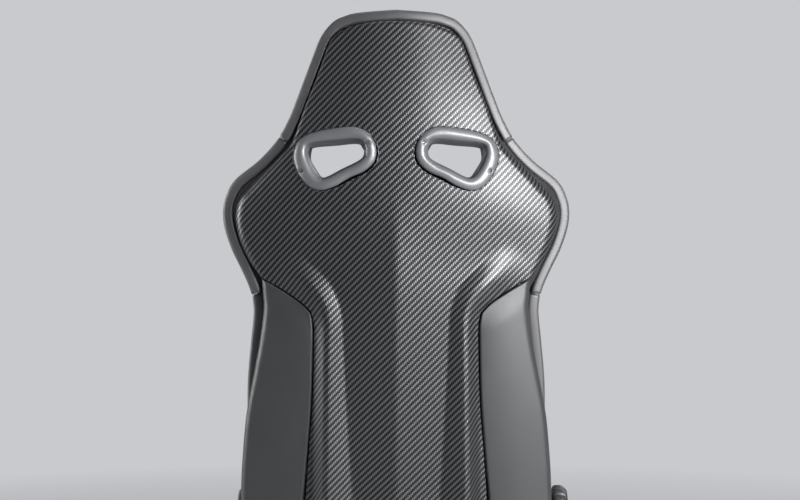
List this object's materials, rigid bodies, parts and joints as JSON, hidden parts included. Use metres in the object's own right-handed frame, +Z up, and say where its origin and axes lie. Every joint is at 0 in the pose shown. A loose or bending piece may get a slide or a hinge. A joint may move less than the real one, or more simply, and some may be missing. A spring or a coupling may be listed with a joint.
{
  "type": "racing seat",
  "caption": "Reclining sport seat with a carbon-look back shell, padded edge, bolstered pads, shoulder-belt openings, handwheel recliner and sliding rails.",
  "frame": {"origin": "centre of the four floor bolts, at floor level under the feet", "axes": "+Z up, the occupant faces -Y, +X is the occupant's left"},
  "size_m": [0.591, 0.7246, 1.048],
  "materials": {
    "carbon": "clear-coated carbon twill",
    "suede": "matt napped suede",
    "leather": "fine matt grain",
    "bezel": "satin dark grey",
    "steel": "plain steel",
    "plastic": "fine texture",
    "zinc": "zinc plated",
    "black_steel": "black e-coat"
  },
  "bodies": {
    "rails": {"lower_rail_left": "zinc", "lower_rail_right": "zinc", "front_feet": "black_steel", "rear_feet": "black_steel", "rail_stops": "steel"},
    "seat_base": {"base_front_tube": "black_steel", "base_rear_tube": "black_steel", "base_side_left": "black_steel", "base_side_right": "black_steel", "cushion_centre": "suede", "cushion_nose": "leather", "latch_pins": "steel", "latch_springs": "steel", "rail_bolts": "steel", "rail_glides": "plastic", "recliner_cap": "plastic", "recliner_gear_left": "zinc", "recliner_gear_right": "zinc", "seat_pan": "black_steel", "side_shield_left": "plastic", "side_shield_right": "plastic", "thigh_bolster_left": "leather", "thigh_bolster_right": "leather", "upper_rail_left": "zinc", "upper_rail_right": "zinc"},
    "backrest": {"back_centre_pad": "suede", "back_low_tube": "black_steel", "back_shell": "carbon", "back_side_left": "black_steel", "back_side_right": "black_steel", "back_top_tube": "black_steel", "bezel_screws": "steel", "front_bezel_left": "bezel", "front_bezel_right": "bezel", "head_pad": "leather", "lumbar_mat": "steel", "lumbar_pad": "suede", "panel_clips": "plastic", "rear_bezel_left": "bezel", "rear_bezel_right": "bezel", "rim_head": "leather", "rim_shoulder_left": "leather", "rim_shoulder_right": "leather", "rim_waist_left": "leather", "rim_waist_right": "leather", "shell_clips": "plastic", "shoulder_bolster_left": "leather", "shoulder_bolster_right": "leather", "shoulder_pad": "leather", "side_bolster_left": "leather", "side_bolster_right": "leather", "side_panel_left": "suede", "side_panel_right": "suede"},
    "recline_drive": {"handwheel": "plastic", "wheel_cap": "plastic", "sync_shaft": "steel"},
    "slide_latch": {"slide_bar": "black_steel", "latch_lever_left": "black_steel", "latch_lever_right": "black_steel"}
  },
  "joints": [
    {"name": "seat_slide", "type": "slide", "parent": "rails", "child": "seat_base", "axis": [0, 1, 0], "range_m": [-0.11, 0.11]},
    {"name": "recline", "type": "hinge", "parent": "seat_base", "child": "backrest", "pos_m": [0, 0.2, 0.195], "axis": [-1, 0, 0], "range_deg": [-5, 40]},
    {"name": "handwheel_turn", "type": "hinge", "parent": "seat_base", "child": "recline_drive", "pos_m": [0, 0.2, 0.195], "axis": [-1, 0, 0], "range_deg": [-150, 1200]},
    {"name": "latch_lift", "type": "hinge", "parent": "seat_base", "child": "slide_latch", "pos_m": [0, -0.07, 0.084], "axis": [1, 0, 0], "range_deg": [-6, 0], "stiffness_Nm_per_rad": 2, "springref_deg": 17.19}
  ],
  "couplings": [
    {"joint": "handwheel_turn", "follows": "recline", "ratio": 30}
  ]
}
